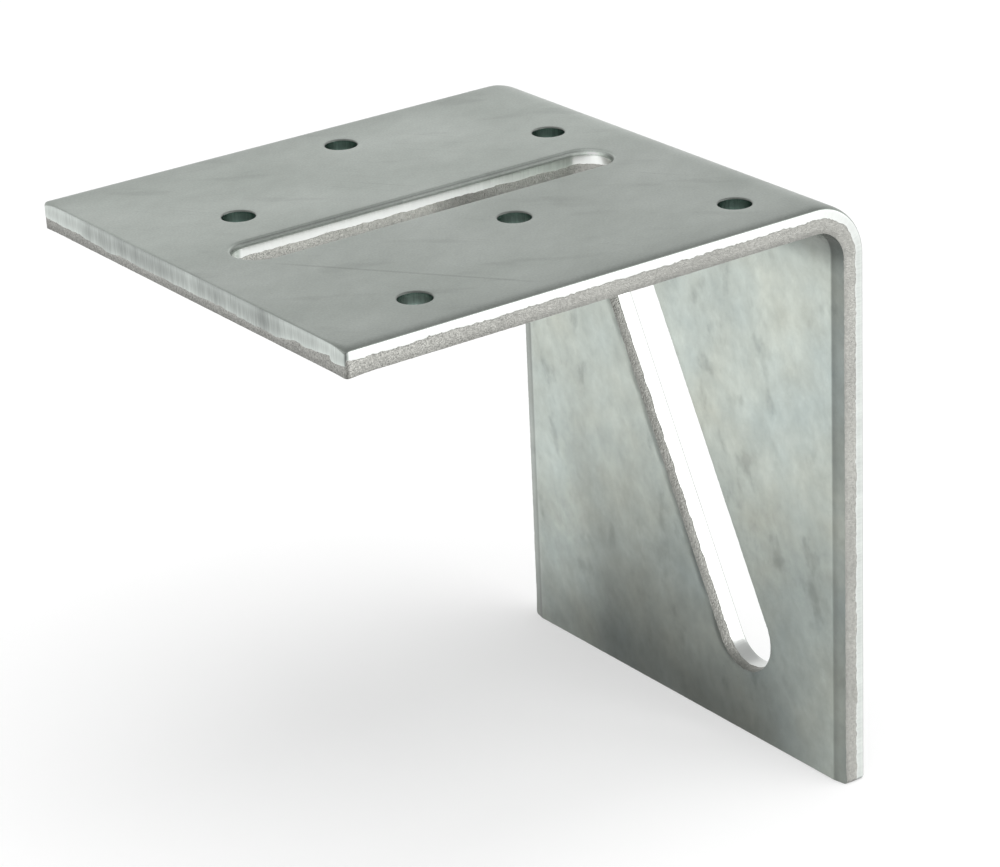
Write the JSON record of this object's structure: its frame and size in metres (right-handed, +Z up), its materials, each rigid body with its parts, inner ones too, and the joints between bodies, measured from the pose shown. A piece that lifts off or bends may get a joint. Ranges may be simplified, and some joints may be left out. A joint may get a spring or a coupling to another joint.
{
  "type": "angle bracket",
  "caption": "Heavy folded steel angle bracket with staggered screw holes and a straight slot in the top leg and a long diagonal slot in the hanging leg.",
  "frame": {"origin": "under the middle of the bracket, level with the lower edge of the hanging leg", "axes": "+X from the free end of the top leg towards the hanging leg's outer face, +Y across the strip, +Z up, out of the top leg's outer face"},
  "size_m": [0.1124, 0.1, 0.119],
  "materials": {
    "zinc_steel": "dull grey zinc on rolled steel plate, bright and torn bands on the cut edges"
  },
  "bodies": {
    "root": {"angle_bracket": "zinc_steel"}
  },
  "joints": []
}
